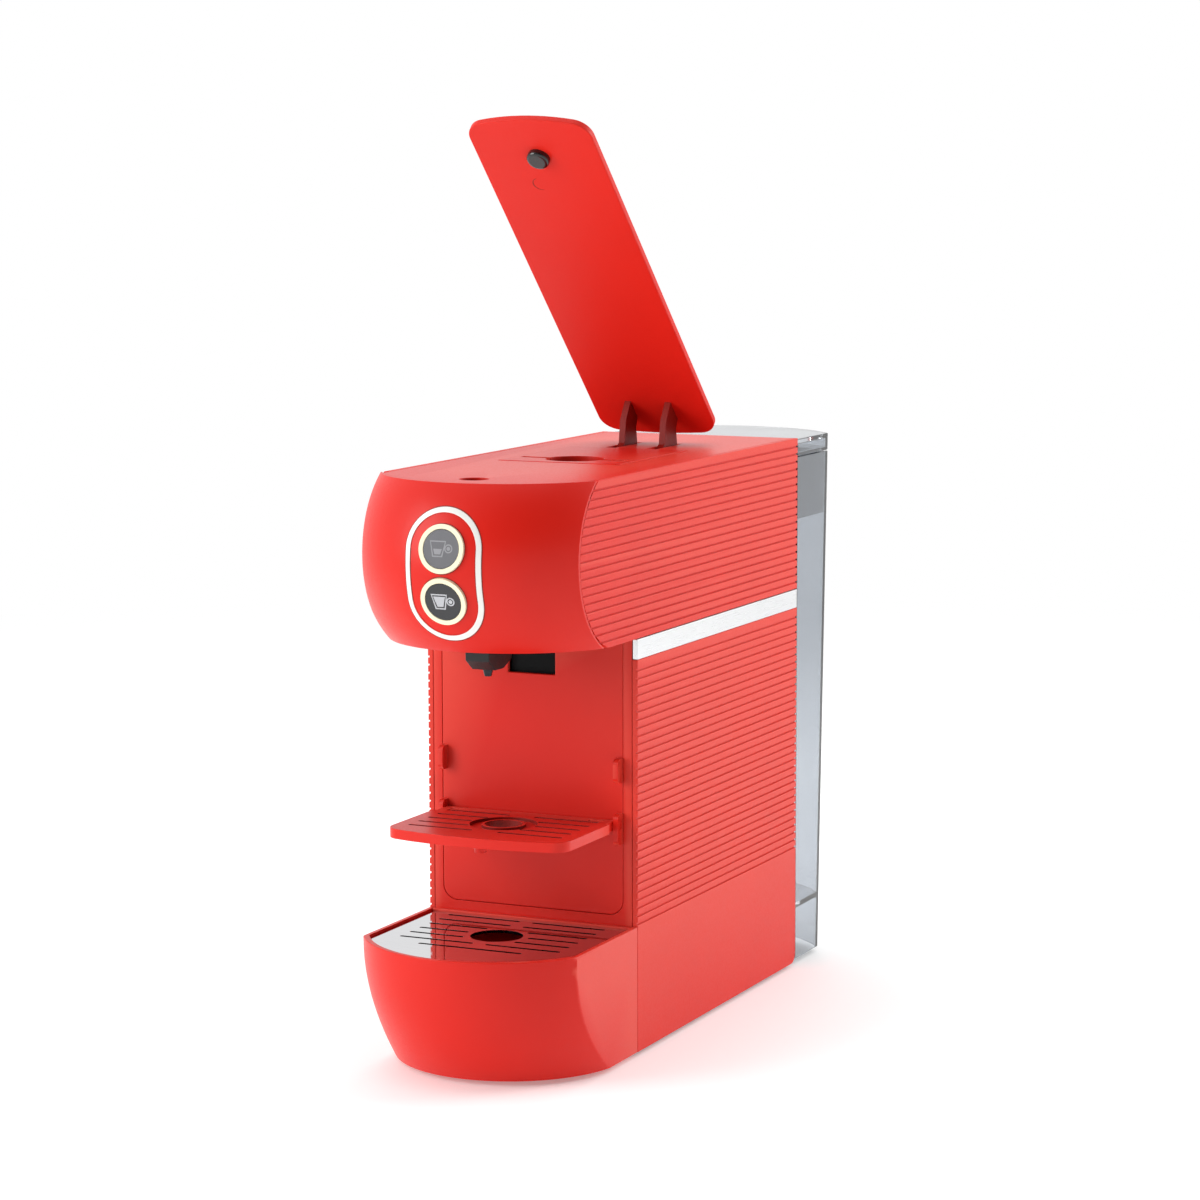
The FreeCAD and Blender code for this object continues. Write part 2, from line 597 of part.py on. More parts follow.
def buildTray():
    skin = traySolid(asSize(0.0), asSize(0.0), dim.bodyFront - 0.2)
    above = box((-60, 60), (-180, 0), (dim.grilleTop - dim.grilleThick, 70))
    below = box((-60, 60), (-180, 0), (dim.trayFloor, dim.trayTop + 2))
    rimVoid = common(traySolid(dim.trayRim, dim.trayRim, dim.bodyFront - dim.trayRim), above)
    # The wall is thick at the ledge that carries the grille and thin at the floor.
    waterVoid = common(traySolid(dim.trayLedge, dim.trayWall, dim.bodyFront - dim.trayLedge), below)
    channels = [box((side, side + 7.0), (-123.0, dim.bodyFront + 5), (0, 5.2)) for side in (24.5, -31.5)]
    node("drip_tray", cut(skin, rimVoid, waterVoid, *channels))
    inset = dim.trayRim + 0.3
    plate = common(traySolid(inset, inset, dim.bodyFront - dim.trayRim - 0.3),
                   box((-60, 60), (-180, 0), (dim.grilleTop - dim.grilleThick + 0.1, dim.grilleTop)))
    low, high = dim.grilleTop - 4, dim.grilleTop + 4
    slots = []
    clearance = dim.grilleHoleRadius.value + 3.0
    for row in range(6):
        along = dim.bodyFront - 6.5 - dim.slotPitch * row
        offset = along.value - dim.grilleHoleY.value
        inside = math.sqrt(clearance ** 2 - offset ** 2) if abs(offset) < clearance else 3.0
        for left, right in ((-37.5, -max(inside, 3.0)), (max(inside, 3.0), 37.5)):
            slots.append(levelSlot(asSize(left), asSize(right), along, low, high))
    slots.append(levelSlot(asSize(-24.0), asSize(24.0), dim.bodyFront - 6.5 - dim.slotPitch * 6, low, high))
    hole = rod("z", (0, dim.grilleHoleY), dim.grilleHoleRadius, low, high)
    node("drip_grille", cut(plate, hole, *slots))


# ---- lid, its arms and the cam drive ----
# These pieces are laid out closed, then turned open about the hinge pin.

def opened(shape):
    turn = FreeCAD.Rotation(FreeCAD.Vector(1, 0, 0), -dim.openAngle.value)
    return turned(shape, turn, vector(0, dim.pivotY, dim.pivotZ))


def buildLid():
    front = dim.lidFront + dim.lidFrontSag
    rear = dim.lidRear - dim.lidRearSag
    points = [(-dim.lidHalf, front), (dim.lidHalf, front), (dim.lidHalf, rear), (-dim.lidHalf, rear)]
    plate = prism("XY_Plane", dim.lidUnder, points, dim.lidThick, {0: dim.lidFrontSag, 2: dim.lidRearSag})
    node("lid", opened(rounded(plate, dim.lidCorner, upright)))
    stud = rod("z", (0, dim.knobY), dim.knobRadius, dim.lidUnder - dim.knobProud, dim.lidUnder)
    node("lid_knob", opened(rounded(stud, 1.4, lambda edge: edge.Vertexes[0].Point.z < dim.lidUnder.value - 1
                                    and len(edge.Vertexes) == 1)))
    pivot, nose = (dim.pivotY, dim.pivotZ), (dim.camPinY, dim.camPinZ)
    arms = []
    for low in (dim.armInner, -dim.armOuter):
        high = low + dim.armOuter - dim.armInner
        blade = prism("YZ_Plane", low, [(25.3, dim.lidUnder), (27.5, 243.0), (33.6, 234.5), (30.4, 222.5),
                                        (39.2, 221.0), (46.0, 231.5), (55.0, 235.6), (56.5, 246.8),
                                        (45.4, 243.2), (38.6, 248.0), (36.7, dim.lidUnder)],
                      dim.armOuter - dim.armInner)
        arm = fuse(blade, rod("x", pivot, 6.0, low, high), rod("x", nose, 4.6, low, high))
        bores = (rod("x", pivot, dim.pinRadius + 0.01, low - 1, high + 1),
                 rod("x", nose, dim.camPinRadius + 0.01, low - 1, high + 1))
        arms.append(cut(arm, *bores))
    node("hinge_arms", opened(fuse(*arms)))
    node("hinge_pin", opened(rod("x", pivot, dim.pinRadius, -dim.cheekOuter, dim.cheekOuter)))
    node("cam_pin", opened(rod("x", nose, dim.camPinRadius, -dim.plateOuter - 0.2, dim.plateOuter + 0.2)))


def camPoint(share):
    """Cam pin's place seen from the carriage, when the lid has closed by a share of its angle.
    The carriage moves forward in proportion to the angle, so the track is exact."""
    angle = math.radians(dim.openAngle.value * (1 - share))
    across, rise = dim.camPinY.value - dim.pivotY.value, dim.camPinZ.value - dim.pivotZ.value
    y = dim.pivotY.value + across * math.cos(angle) + rise * math.sin(angle)
    z = dim.pivotZ.value - across * math.sin(angle) + rise * math.cos(angle)
    return FreeCAD.Vector(0, y + dim.pistonStroke.value * share, z)


def camTrack(radius, low, high):
    """Slot along the cam pin's path: a smooth curve widened to the radius each side."""
    steps = 12
    spots = [camPoint(step / steps) for step in range(steps + 1)]
    sides = []
    for sign in (1, -1):
        line = []
        for index, spot in enumerate(spots):
            along = (spots[min(index + 1, steps)] - spots[max(index - 1, 0)]).normalize()
            line.append(spot + FreeCAD.Vector(0, along.z, -along.y) * (radius * sign))
        sides.append(line)
    forward = Part.BSplineCurve()
    forward.interpolate(sides[0])
    backward = Part.BSplineCurve()
    backward.interpolate(sides[1])
    tip = (spots[-1] - spots[-2]).normalize() * radius
    tail = (spots[0] - spots[1]).normalize() * radius
    edges = [forward.toShape(), Part.Arc(sides[0][-1], spots[-1] + tip, sides[1][-1]).toShape(),
             backward.toShape(), Part.Arc(sides[1][0], spots[0] + tail, sides[0][0]).toShape()]
    face = Part.Face(Part.Wire(Part.__sortEdges__(edges)))
    face.translate(FreeCAD.Vector(low, 0, 0))
    track = doc.addObject("Part::Feature", "track")
    track.Shape = face.extrude(FreeCAD.Vector(high - low, 0, 0))
    return track


def buildBrewUnit():
    axis = (0, dim.brewAxisZ)
    plates = []
    for low in (dim.plateInner, -dim.plateOuter):
        high = low + dim.plateOuter - dim.plateInner
        web = prism("YZ_Plane", low, [(dim.pistonRear - 4, 200.0), (55.0, 200.0), (55.0, 222.0),
                                      (34.0, 226.0), (22.0, 234.0), (dim.pistonRear - 4, 226.0)],
                    dim.plateOuter - dim.plateInner)
        rail = camTrack(6.2, low.value, high.value)
        track = camTrack(dim.camSlotRadius.value, low.value - 1, high.value + 1)
        plates.append(cut(fuse(web, rail), track))
    bridge = box((-dim.plateOuter, dim.plateOuter), (dim.pistonRear - 4, dim.pistonRear), (200.0, 224.0))
    shoes = [box((side, side + 4.4), (18.0, 34.0), (203.0, 209.0)) for side in (14.7, -19.1)]
    node("brew_carriage", fuse(bridge, *plates, *shoes))
    pistonBack = dim.pistonRear - 4
    cup = cut(rod("y", axis, dim.pistonRadius, dim.pistonFace, pistonBack),
              rod("y", axis, 13.0, dim.pistonFace - 1, dim.pistonFace + 9),
              tube("y", axis, dim.pistonRadius + 2, dim.pistonRadius - 1.5, -11.0, -8.0))
    node("brew_piston", cup)
    node("piston_seal", tube("y", axis, dim.pistonRadius + 0.4, dim.pistonRadius - 1.5, -11.0, -8.0))
    cheeks = []
    for low in (dim.cheekInner, -dim.cheekOuter):
        high = low + dim.cheekOuter - dim.cheekInner
        cheek = prism("YZ_Plane", low, [(-56.0, dim.chassisHigh), (68.0, dim.chassisHigh), (68.0, 246.0),
                                        (50.0, 248.0), (40.0, 232.0), (-46.0, 232.0), (-56.0, 228.0)],
                      dim.cheekOuter - dim.cheekInner)
        pinHole = rod("x", (dim.pivotY, dim.pivotZ), dim.pinRadius + dim.pinGap, low - 1, high + 1)
        rail = box((low - 1.5, high + 1.5), (10.0, 60.0), (209.4, 211.4))
        cheeks.append(cut(fuse(cheek, rail), pinHole))
    tie = box((-dim.cheekOuter, dim.cheekOuter), (64.0, 68.0), (dim.chassisHigh, 215.0))
    node("brew_frame", fuse(*cheeks, tie))
    slab = box((-19.3, 19.3), (-54.0, -48.0), (dim.chassisHigh, 232.0))
    outlet = rod("y", (0, 200.0), 2.5, -60.0, -40.0)
    node("extraction_plate", cut(slab, outlet))
    plate = box((-46.8, 46.8), (-79.5, 100.2), (dim.chassisLow, dim.chassisHigh))
    podHole = box((-17.5, 17.5), (-47.5, 8.0), (dim.chassisLow - 2, dim.chassisHigh + 2))
    hangers = [box((side, side + 3.0), (24.0, 80.0), (146.0, dim.chassisLow + 1)) for side in (-26.0, 23.0)]
    node("chassis", fuse(cut(plate, podHole), *hangers))


def buildSpout():
    duct = cut(box((-9.0, 9.0), (-127.0, -54.2), (195.0, 206.0)),
               rod("y", (0, 200.0), 2.5, dim.spoutY, -50.0),
               rod("z", (0, dim.spoutY), 2.0, 190.0, 200.0))
    shroud = box((-dim.notchHalf + 0.4, dim.notchHalf - 0.4), (dim.bodyFront + 3.0, dim.bodyFront + 16),
                 (dim.notchLow - 0.6, dim.chassisLow - 0.1))
    node("outlet_channel", fuse(duct, shroud))
    low, high = dim.spoutLow, 195.0
    block = prism("YZ_Plane", -dim.spoutHalf, [(dim.spoutFront, high), (dim.spoutFront, low + 4.5),
                                               (dim.spoutY - 4.0, low), (dim.spoutY + 4.0, low),
                                               (dim.spoutRear, low + 3.0), (dim.spoutRear, high)],
                  dim.spoutHalf * 2)
    bore = rod("z", (0, dim.spoutY), 3.05, low - 2, high + 2)
    node("spout", cut(block, bore))
    tip = cone("z", (0, dim.spoutY), 1.5, 2.9, dim.nozzleLow, dim.nozzleLow + 5.5)
    stem = rod("z", (0, dim.spoutY), 2.9, dim.nozzleLow + 5.5, high)
    node("spout_nozzle", cut(fuse(tip, stem), rod("z", (0, dim.spoutY), 0.9, 150, 200)))


# ---- water tank ----

def tankSolid(inset, low, high):
    """Tank outline lofted with the draft of its rear, and cut to a height range."""
    sections = []
    for height, side, rear in ((dim.tankBottom, dim.tankSideBottom, dim.tankRearBottom),
                               (dim.tankLidTop, dim.tankSideTop, dim.tankRearTop)):
        half = dim.tankHalf - inset
        sideY = side - inset * 0.6
        points = [(-half, dim.tankFront + inset), (half, dim.tankFront + inset),
                  (half, sideY), (-half, sideY)]
        sections.append((height, points, {2: rear - inset - sideY}))
    return common(lofted(sections), box((-60, 60), (90, 190), (low, high)))


def buildTank():
    wall = dim.tankWall
    shell = tankSolid(asSize(0.0), dim.tankBottom, dim.tankTopZ)
    water = tankSolid(wall, dim.tankFloor + 2.4, dim.tankTopZ + 3)
    under = tankSolid(wall, 0.0, dim.tankFloor)
    doorway = box((-24.0, 24.0), (100.0, 112.0), (0.0, dim.tankFloor))
    spot = (0, dim.valveY)
    neck = tube("z", spot, dim.neckRadius, dim.neckRadius - 2.5, 20.0, dim.tankFloor + 1)
    bore = rod("z", spot, dim.neckRadius - 2.5, 18.0, dim.tankFloor + 5)
    cage = cut(rod("z", spot, 11.0, dim.tankFloor + 2.0, dim.tankFloor + 20.0),
               rod("z", spot, 9.4, dim.tankFloor + 1, dim.tankFloor + 18.2),
               box((-20, 20), (dim.valveY - 3, dim.valveY + 3), (dim.tankFloor + 3.5, dim.tankFloor + 15)),
               box((-3, 3), (dim.valveY - 20, dim.valveY + 20), (dim.tankFloor + 3.5, dim.tankFloor + 15)))
    node("tank_body", fuse(cut(shell, water, under, doorway, bore), neck, cage))
    gap = 0.15
    collar = cut(tankSolid(wall + gap, dim.collarLow, dim.tankTopZ),
                 tankSolid(wall + gap + 1.6, dim.collarLow - 2, dim.tankTopZ + 2))
    node("tank_collar", collar)
    cover = tankSolid(asSize(0.0), dim.tankLidLow, dim.tankLidTop)
    lip = cut(tankSolid(wall + 2.4, dim.tankLidLow - 4, dim.tankLidLow + 1),
              tankSolid(wall + 4.0, dim.tankLidLow - 6, dim.tankLidLow + 2))
    hollow = tankSolid(asSize(2.4), dim.tankLidLow - 1, dim.tankLidTop - 2.2)
    node("tank_lid", fuse(cut(cover, hollow), lidRim(lip)))
    disc = rod("z", spot, 8.6, dim.tankFloor + 2.6, dim.tankFloor + 4.6)
    stem = rod("z", spot, 1.6, 21.0, dim.tankFloor + 2.6)
    node("tank_valve", fuse(disc, stem))
    seat = box((-21.0, 21.0), (dim.bodyRear, 134.0), (dim.baseBottom + 0.4, dim.tankFloor - 0.2))
    socket = rod("z", spot, dim.neckRadius + 0.5, 14.0, dim.tankFloor + 3)
    ringSeat = rod("z", spot, 12.0, dim.tankFloor - 2.6, dim.tankFloor + 3)
    duct = rod("y", (0.0, 14.0), 3.0, 95.0, dim.valveY)
    well = rod("z", spot, 4.0, 12.0, 16.0)
    node("tank_seat", cut(seat, socket, ringSeat, duct, well))
    node("valve_seal", tube("z", spot, 11.95, dim.neckRadius + 0.1, dim.tankFloor - 2.6, dim.tankFloor - 0.3))
    node("valve_spring", spring(spot, 4.6, 0.5, 2.6, dim.tankFloor.value + 5.2, 12.0))


def lidRim(lip):
    """Lip under the tank lid, joined to the cover by its own web."""
    web = cut(tankSolid(asSize(0.4), dim.tankLidLow, dim.tankLidLow + 1.2),
              tankSolid(dim.tankWall + 4.0, dim.tankLidLow - 2, dim.tankLidLow + 3))
    return fuse(lip, web)


def spring(spot, radius, wire, pitch, bottom, length):
    """Round-wire compression spring standing on a height."""
    helix = Part.makeHelix(pitch, length, radius)
    ring = Part.Wire(Part.makeCircle(wire, FreeCAD.Vector(radius, 0, 0), FreeCAD.Vector(0, 1, 0)))
    coil = Part.Wire(helix).makePipeShell([ring], True, True)
    piece = doc.addObject("Part::Feature", "coil")
    piece.Shape = coil
    piece.Placement = FreeCAD.Placement(vector(spot[0], spot[1], bottom), FreeCAD.Rotation())
    return piece


# ---- pump, heater and electronics ----

def hose(points, radius, bore):
    """Hose along straight runs joined by tangent arcs."""
    spots = [FreeCAD.Vector(*point) for point in points]
    edges, start = [], spots[0]
    for before, corner, after in zip(spots, spots[1:], spots[2:]):
        inward, outward = (corner - before).normalize(), (after - corner).normalize()
        turn = inward.getAngle(outward)
        shorter = min((corner - before).Length, (after - corner).Length)
        bend = 0.45 * shorter / math.tan(turn / 2)
        back = bend * math.tan(turn / 2)
        first, last = corner - inward * back, corner + outward * back
        middle = (outward - inward).normalize()
        via = corner + middle * (bend / math.cos(turn / 2) - bend)
        edges += [Part.LineSegment(start, first).toShape(), Part.Arc(first, via, last).toShape()]
        start = last
    edges.append(Part.LineSegment(start, spots[-1]).toShape())
    path = Part.Wire(edges)
    along = (spots[1] - spots[0]).normalize()
    outer = path.makePipeShell([Part.Wire(Part.makeCircle(radius, spots[0], along))], True, False)
    inner = path.makePipeShell([Part.Wire(Part.makeCircle(bore, spots[0], along))], True, False)
    return outer.cut(inner)


def buildWorks():
    spot = (dim.pumpX, dim.pumpY)
    frame = cut(box((-8.0, 36.0), (24.0, 68.0), (40.0, 86.0)), box((-6.2, 34.2), (22.0, 70.0), (41.8, 84.2)),
                rod("z", spot, 7.6, 30.0, 90.0))
    node("pump_bracket", frame)
    node("pump_coil", tube("z", spot, 19.0, 7.6, 42.2, 83.8))
    barrel = cut(rod("z", spot, 7.4, 26.0, 100.0), rod("z", spot, 4.6, 33.0, 92.0),
                 rod("z", spot, 1.8, 20.0, 105.0))
    node("pump_body", barrel)
    node("pump_plunger", tube("z", spot, 4.5, 1.5, 52.0, 74.0))
    node("pump_spring", spring(spot, 3.4, 0.45, 2.4, 74.6, 16.4))
    mounts = [tube("z", spot, 12.0, 7.5, low, low + 6.0) for low in (29.0, 90.0)]
    node("pump_mounts", fuse(*mounts))
    flow = (dim.flowX, dim.flowY)
    casing = cut(rod("z", flow, dim.flowRadius, dim.flowZ, dim.flowZ + 12),
                 rod("z", flow, dim.flowRadius - 2, dim.flowZ + 2, dim.flowZ + 10))
    inlet = rod("y", (dim.flowX, dim.flowZ + 6), 3.0, dim.flowY + dim.flowRadius - 1.5, 98.0)
    node("flow_meter", fuse(casing, inlet))
    hub = rod("z", flow, 2.0, dim.flowZ + 2.4, dim.flowZ + 9.6)
    blades = [box((dim.flowX - 10, dim.flowX + 10), (dim.flowY - 0.6, dim.flowY + 0.6),
                  (dim.flowZ + 3.5, dim.flowZ + 8.5)),
              box((dim.flowX - 0.6, dim.flowX + 0.6), (dim.flowY - 10, dim.flowY + 10),
                  (dim.flowZ + 3.5, dim.flowZ + 8.5))]
    node("flow_rotor", fuse(hub, *blades))
    block = box((-30.0, 30.0), (20.0, 84.0), (118.0, 146.0))
    block = rounded(block, 5.0, upright)
    ribs = [box((-32.0, 32.0), (low, low + 2.0), (121.0, 143.0)) for low in (28.0, 40.0, 52.0, 64.0, 76.0)]
    stubs = [rod("z", (dim.pumpX, dim.pumpY), 3.0, 111.0, 119.0),
             rod("z", (16.0, 76.0), 3.0, 145.0, 152.0)]
    node("thermoblock", fuse(block, *ribs, *stubs))
    discs = [fuse(rod("z", (0.0, along), 8.0, 146.0, 149.0), rod("z", (0.0, along), 5.0, 149.0, 153.0))
             for along in (36.0, 66.0)]
    node("thermostats", fuse(*discs))
    board = box((-45.0, -43.4), (10.0, 94.0), (66.0, 150.0))
    pieces = [rod("x", (30.0, 130.0), 6.0, -43.4, -34.0), rod("x", (46.0, 132.0), 4.0, -43.4, -35.0),
              box((-43.4, -34.0), (58.0, 82.0), (84.0, 110.0)),
              box((-43.4, -36.0), (20.0, 46.0), (84.0, 104.0))]
    buttonBoard = box((-13.0, 13.0), (noseY + 12.0, noseY + 13.6),
                      (dim.buttonLowerZ - 12.0, dim.buttonUpperZ + 10.0))
    node("circuit_boards", fuse(fuse(board, *pieces), buttonBoard))
    suction = hose([(0.0, 105.0, 14.0), (0.0, 92.0, 14.0), (-6.0, 84.0, 20.0), (4.0, 66.0, 16.0),
                    (14.0, 52.0, 14.0), (14.0, 46.0, 20.0), (14.0, 46.0, 25.9)], 2.6, 1.5)
    piece = doc.addObject("Part::Feature", "suction")
    piece.Shape = suction
    pressure = tube("z", spot, 2.6, 1.4, 100.1, 110.9)
    node("water_hoses", fuse(piece, pressure))


def checkAndExport():
    doc.recompute()
    for thing in doc.Objects:
        if "Invalid" in thing.State or "Error" in thing.State:
            raise RuntimeError("%s (%s) failed: %s" % (thing.Name, thing.Label, thing.State))
    os.makedirs("parts", exist_ok=True)
    for label, thing in parts.items():
        shape = thing.Shape
        if shape.isNull() or not shape.isValid() or shape.Volume <= 0:
            raise RuntimeError("%s has no valid shape" % label)
        shape.exportStep("parts/%s.step" % label)
        span = shape.BoundBox
        print("%-18s solids %d  volume %9.1f  x %.1f..%.1f  y %.1f..%.1f  z %.1f..%.1f" % (
            label, len(shape.Solids), shape.Volume, span.XMin, span.XMax, span.YMin, span.YMax,
            span.ZMin, span.ZMax))
    print(len(parts), "parts")


buildHead()
buildTop()
buildSides()
buildFrame()
buildBin()
buildShelf()
buildTray()
buildLid()
buildBrewUnit()
buildSpout()
buildTank()
buildWorks()
checkAndExport()
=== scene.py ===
import json
import math

import bmesh
import bpy
import numpy as np
from mathutils import Matrix, Vector
from mathutils.bvhtree import BVHTree


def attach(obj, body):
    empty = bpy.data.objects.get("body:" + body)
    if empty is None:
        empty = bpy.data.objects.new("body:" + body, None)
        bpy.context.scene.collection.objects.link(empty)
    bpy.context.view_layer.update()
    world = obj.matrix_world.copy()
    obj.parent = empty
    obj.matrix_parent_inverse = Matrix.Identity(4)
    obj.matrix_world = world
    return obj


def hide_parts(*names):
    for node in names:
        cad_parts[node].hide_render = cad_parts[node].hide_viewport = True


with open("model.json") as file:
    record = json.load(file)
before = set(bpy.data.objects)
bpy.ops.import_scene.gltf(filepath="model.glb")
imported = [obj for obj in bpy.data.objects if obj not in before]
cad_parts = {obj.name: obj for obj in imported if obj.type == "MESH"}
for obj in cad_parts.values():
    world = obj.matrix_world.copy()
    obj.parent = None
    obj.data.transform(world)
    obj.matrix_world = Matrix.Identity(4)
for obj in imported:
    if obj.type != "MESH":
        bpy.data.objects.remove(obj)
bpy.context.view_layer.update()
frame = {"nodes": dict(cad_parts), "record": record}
nodes = frame["nodes"]
slotOf = {entry["node"]: entry["material_slot"] for entry in frame["record"]["subparts"]}
bodyOf = {name: body for body, members in frame["record"]["behaviour"]["bodies"].items() for name in members}
mm = 0.001
print("frame loaded:", len(nodes), "nodes")


# Camera

camera = {
    "place": (0.65207, -1.42648, 0.39210),   # metres
    "turn": 24.715, "rise": 7.494, "roll": -0.1305,   # degrees
    "lens": 105.57, "sensor": 36.0,   # millimetres
    "clip": 20.0,   # metres
}


def placeCamera(view):
    # back is the direction from the object to the camera, turned round the upright and raised; right and up
    # are square to it, and the roll turns them by its cosine and sine
    turn, rise, roll = (math.radians(view[key]) for key in ("turn", "rise", "roll"))
    back = Vector((math.sin(turn) * math.cos(rise), -math.cos(turn) * math.cos(rise), math.sin(rise)))
    right = (-back).cross(Vector((0, 0, 1))).normalized()
    up = right.cross(-back)
    rolledRight = right * math.cos(roll) + up * math.sin(roll)
    rolledUp = up * math.cos(roll) - right * math.sin(roll)
    lens = bpy.data.cameras.new("studio_camera")
    lens.lens, lens.sensor_width = view["lens"], view["sensor"]
    lens.clip_end = view["clip"]
    holder = bpy.data.objects.new("studio_camera", lens)
    axes = Matrix((rolledRight, rolledUp, back)).transposed().to_4x4()
    holder.matrix_world = Matrix.Translation(Vector(view["place"])) @ axes
    bpy.context.scene.collection.objects.link(holder)
    bpy.context.scene.camera = holder


placeCamera(camera)


# Small tools

def toLinear(hexColour):
    # sRGB hex to linear, with full alpha: dark values are divided, the others follow a power curve
    parts = np.array([int(hexColour[i:i + 2], 16) / 255 for i in (1, 3, 5)])
    linear = np.where(parts <= 0.04045, parts / 12.92, ((parts + 0.055) / 1.055) ** 2.4)
    return (*linear.tolist(), 1.0)


def addNode(tree, kind, settings=None, links=None):
    # one node, its settings by socket or property, and what its sockets are fed from
    added = tree.nodes.new(kind)
    for key, value in (settings or {}).items():
        if isinstance(key, int) or key in added.inputs:
            added.inputs[key].default_value = value
        else:
            setattr(added, key, value)
    for key, source in (links or {}).items():
        tree.links.new(source, added.inputs[key])
    return added


def newMaterial(name):
    material = bpy.data.materials.new(name)
    material.use_nodes = True
    material.node_tree.nodes.clear()
    return material, material.node_tree


def finishMaterial(tree, shader):
    addNode(tree, "ShaderNodeOutputMaterial", None, {"Surface": shader.outputs[0]})


# Materials

noiseSpan = (0.3, 0.7)   # the part of a noise that carries most of its area
edgeSpan = (0.52, 0.62)   # pointiness of an edge, where its painted highlight starts and where it is strongest


def objectNoise(tree, place, size, detail, socket="Object"):
    # a noise in the object's own axes, its features about size millimetres across
    return addNode(tree, "ShaderNodeTexNoise", {"Scale": 1 / (size * mm), "Detail": detail},
                   {"Vector": place.outputs[socket]})


def mixedTone(tree, look, noise):
    return addNode(tree, "ShaderNodeMix", {"data_type": "RGBA", 6: toLinear(look["base"]),
                                           7: toLinear(look["shade"])}, {0: noise.outputs["Fac"]})


def variedRough(tree, look, noise):
    return addNode(tree, "ShaderNodeMapRange", {"From Min": noiseSpan[0], "From Max": noiseSpan[1],
                                                "To Min": look["rough"] - look["vary"],
                                                "To Max": look["rough"] + look["vary"]},
                   {"Value": noise.outputs["Fac"]})


def fineRelief(tree, look, noise):
    return addNode(tree, "ShaderNodeBump", {"Strength": look["strength"], "Distance": look["depth"] * mm},
                   {"Height": noise.outputs["Fac"]})


def mouldedPlastic(name, look):
    # Injection moulded: a soft cloud of tone from the flow of the melt, a fine spark-eroded grain, and
    # a painted highlight that makes the sharper edges paler, as if light caught them.
    material, tree = newMaterial(name)
    place = addNode(tree, "ShaderNodeTexCoord")
    cloud = objectNoise(tree, place, look["cloud"], 3.0)
    grain = objectNoise(tree, place, look["grain"], 2.5)
    tint = mixedTone(tree, look, cloud)
    relief = addNode(tree, "ShaderNodeNewGeometry")
    edge = addNode(tree, "ShaderNodeMapRange", {"From Min": edgeSpan[0], "From Max": edgeSpan[1],
                                                "To Min": 0.0, "To Max": look["edge"]},
                   {"Value": relief.outputs["Pointiness"]})
    # painted highlight: the paler edge colour mixed in where the edge is sharp
    edgeHighlight = addNode(tree, "ShaderNodeMix", {"data_type": "RGBA", 7: toLinear(look["edgeHighlight"])},
                   {0: edge.outputs["Result"], 6: tint.outputs[2]})
    rough, bump = variedRough(tree, look, grain), fineRelief(tree, look, grain)
    shader = addNode(tree, "ShaderNodeBsdfPrincipled",
                     {"IOR": look["ior"], "Specular IOR Level": look["gloss"],
                      "Coat Weight": look["coat"], "Coat Roughness": look["coatRough"],
                      "Coat IOR": look["coatIor"]},
                     {"Base Color": edgeHighlight.outputs[2], "Roughness": rough.outputs["Result"],
                      "Normal": bump.outputs["Normal"]})
    finishMaterial(tree, shader)
    return material


# ABS in signal red, satin from the tool. The real grain is 0.2 mm; it is drawn at 0.8 mm so that it shows.
redAbs = {"base": "#DF2316", "shade": "#D31D12", "edgeHighlight": "#EE6A58", "edge": 0.3, "cloud": 60.0,
          "grain": 0.8, "depth": 0.02, "strength": 0.25, "rough": 0.36, "vary": 0.04, "ior": 1.53,
          "gloss": 0.2, "coat": 0.03, "coatRough": 0.2, "coatIor": 1.45}
redFlat = dict(redAbs, rough=0.46, vary=0.05, coat=0.0, strength=0.35, edge=0.25)
# A darker red: painted shade on the hinge arms and on the shelf's slot walls, and the colour of the dark seam
# lines round the bezel, the rings and the lid crescent.
shadeAndSeamRed = dict(redFlat, base="#8E1A12", shade="#7C150E", edgeHighlight="#B0483A")
blackAbs = {"base": "#0E0E0F", "shade": "#151516", "edgeHighlight": "#2B2B2C", "edge": 0.3, "cloud": 30.0,
            "grain": 0.7, "depth": 0.03, "strength": 0.3, "rough": 0.42, "vary": 0.06, "ior": 1.5,
            "gloss": 0.4, "coat": 0.0, "coatRough": 0.2, "coatIor": 1.45}
# Blacker than the black plastic and nearly without reflection: painted shade for the outlet channel seen behind
# the notch.
shadowBlack = dict(blackAbs, base="#050506", shade="#08080A", edgeHighlight="#151516", rough=0.6, ior=1.25)
blackGloss = dict(blackAbs, rough=0.12, vary=0.02, strength=0.05, coat=0.5, coatRough=0.05)
nylon = dict(blackAbs, base="#2A2A2C", shade="#353537", edgeHighlight="#4A4A4C", rough=0.5)
smokeDisc = dict(blackGloss, base="#66666A", shade="#58585C", edgeHighlight="#808084", rough=0.2)
darkDisc = dict(blackGloss, base="#17181A", shade="#1E1F22", edgeHighlight="#303134", rough=0.16)
nitrile = dict(blackAbs, base="#141414", shade="#1B1B1B", edgeHighlight="#2A2A2A", rough=0.7, vary=0.08)
milkySilicone = dict(blackAbs, base="#CFCFC6", shade="#BDBDB4", edgeHighlight="#DADAD2", rough=0.45)
platedWhite = dict(redAbs, gloss=0.5, base="#F2F1EC", shade="#E9E8E3", edgeHighlight="#FFFFFF", rough=0.22, coat=0.4,
                   strength=0.05)
creamGuide = dict(redAbs, base="#FBF2CF", shade="#F5E8BC", edgeHighlight="#FFFBE8", rough=0.3, strength=0.05)
greyMark = dict(platedWhite, base="#8C8C90", shade="#85858A", edgeHighlight="#98989C")
paleMark = dict(platedWhite, base="#B8BABE", shade="#AEB0B5", edgeHighlight="#C4C6CA")
solderMask = dict(blackAbs, base="#0C4A24", shade="#0A3E1E", edgeHighlight="#1A6A38", rough=0.3, coat=0.4)


